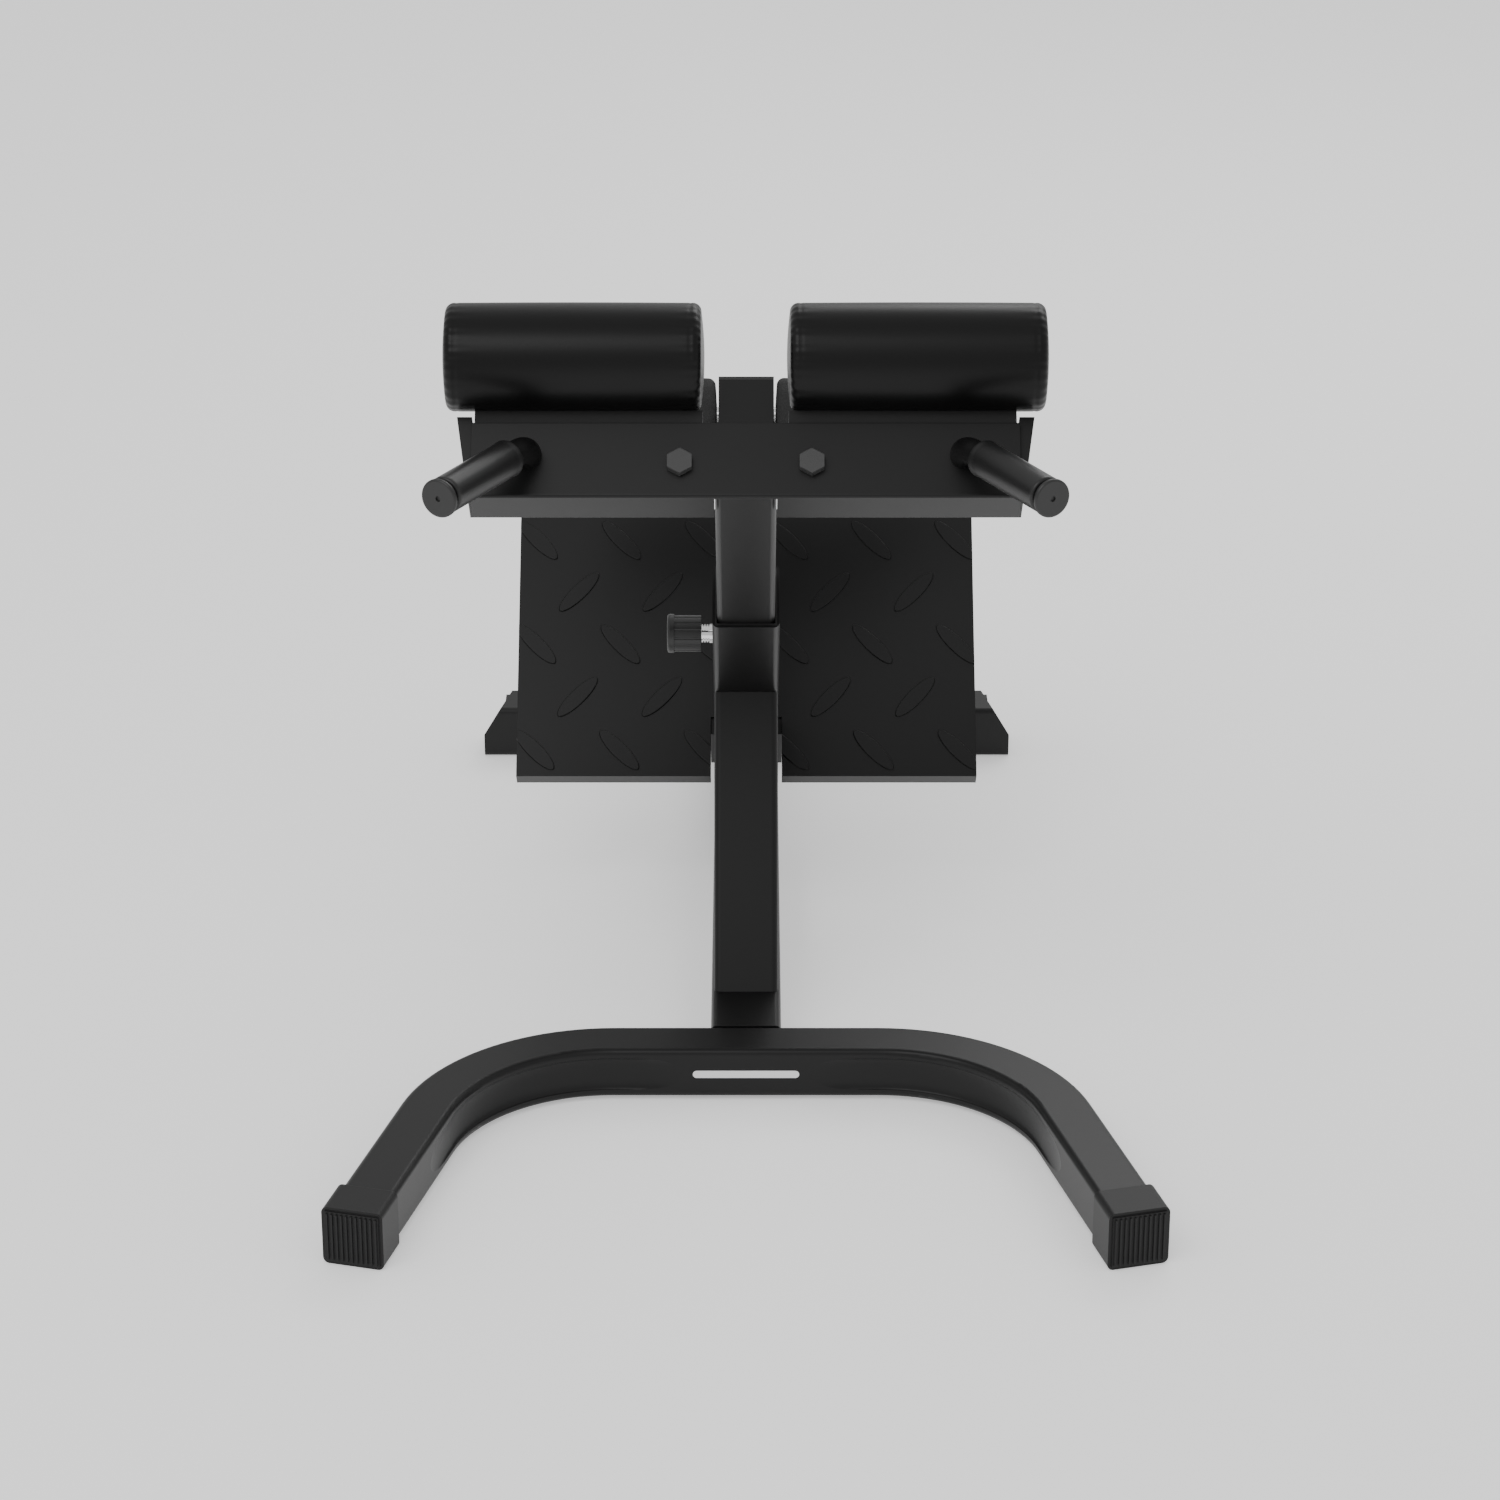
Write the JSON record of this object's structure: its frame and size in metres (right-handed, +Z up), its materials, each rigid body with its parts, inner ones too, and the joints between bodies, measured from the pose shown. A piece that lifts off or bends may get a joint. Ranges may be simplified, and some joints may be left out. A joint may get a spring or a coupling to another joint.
{
  "type": "roman chair",
  "caption": "Black steel 45 degree back extension bench with split hip pads, side handles, a treaded foot plate, calf rollers and a splayed U-shaped front foot.",
  "frame": {"origin": "on the floor, at the centre of the footprint", "axes": "+Z up, +X to the right, -Y towards the head end with the hip pads and handles, +Y towards the foot plate"},
  "size_m": [0.8944, 1.3799, 0.9339],
  "materials": {
    "boot_rubber": "ribbed matt black rubber",
    "pad_leatherette": "smooth black leatherette with a soft shine",
    "roller_foam": "open-cell matt black foam",
    "grip_rubber": "smooth black rubber",
    "black_plastic": "moulded matt black plastic",
    "chrome": "bright chrome plate",
    "bare_steel": "drawn steel tube",
    "pad_wood": "plywood painted black underneath",
    "bolt_steel": "blackened steel",
    "badge_white": "plain white enamel",
    "black_paint": "satin black powder coat"
  },
  "bodies": {
    "frame": {"axle_cap_left": "black_plastic", "axle_cap_right": "black_plastic", "floor_spine": "black_paint", "foot_bracket_left": "black_paint", "foot_bracket_right": "black_paint", "foot_plate": "black_paint", "foot_treads": "black_paint", "front_badge": "badge_white", "front_base": "black_paint", "front_boot_left": "boot_rubber", "front_boot_right": "boot_rubber", "front_strut": "black_paint", "main_sleeve": "black_paint", "pin_housing": "chrome", "post_cap": "black_plastic", "rear_boot_left": "boot_rubber", "rear_boot_right": "boot_rubber", "rear_crossbar": "black_paint", "roller_axle": "chrome", "roller_post": "black_paint", "sleeve_bushing_lower": "black_plastic", "sleeve_bushing_upper": "black_plastic"},
    "carrier": {"carrier_bolts": "bolt_steel", "carrier_cheek_left": "black_paint", "carrier_cheek_right": "black_paint", "carrier_plate": "black_paint", "grip_cap_left": "black_plastic", "grip_cap_right": "black_plastic", "hand_grip_left": "grip_rubber", "hand_grip_right": "grip_rubber", "handle_tube_left": "black_paint", "handle_tube_right": "black_paint", "hip_pad_left": "pad_leatherette", "hip_pad_right": "pad_leatherette", "inner_tube": "black_paint", "inner_tube_plug": "black_plastic", "pad_board_left": "pad_wood", "pad_board_right": "pad_wood", "pad_core_left": "bare_steel", "pad_core_right": "bare_steel"},
    "pull_pin": {"pull_pin": "chrome", "pin_knob": "black_plastic"},
    "roller_left": {"calf_roller_left": "roller_foam", "roller_tube_left": "bare_steel"},
    "roller_right": {"calf_roller_right": "roller_foam", "roller_tube_right": "bare_steel"}
  },
  "joints": [
    {"name": "carrier_height", "type": "slide", "parent": "frame", "child": "carrier", "axis": [0, -0.7071, 0.7071], "range_m": [-0.2, 0.05]},
    {"name": "pin_pull", "type": "slide", "parent": "frame", "child": "pull_pin", "axis": [-1, 0, 0], "range_m": [-0.011, 0]},
    {"name": "roller_left_spin", "type": "hinge", "parent": "frame", "child": "roller_left", "pos_m": [0, 0.27715, 0.60587], "axis": [1, 0, 0], "continuous": true},
    {"name": "roller_right_spin", "type": "hinge", "parent": "frame", "child": "roller_right", "pos_m": [0, 0.27715, 0.60587], "axis": [1, 0, 0], "continuous": true}
  ]
}
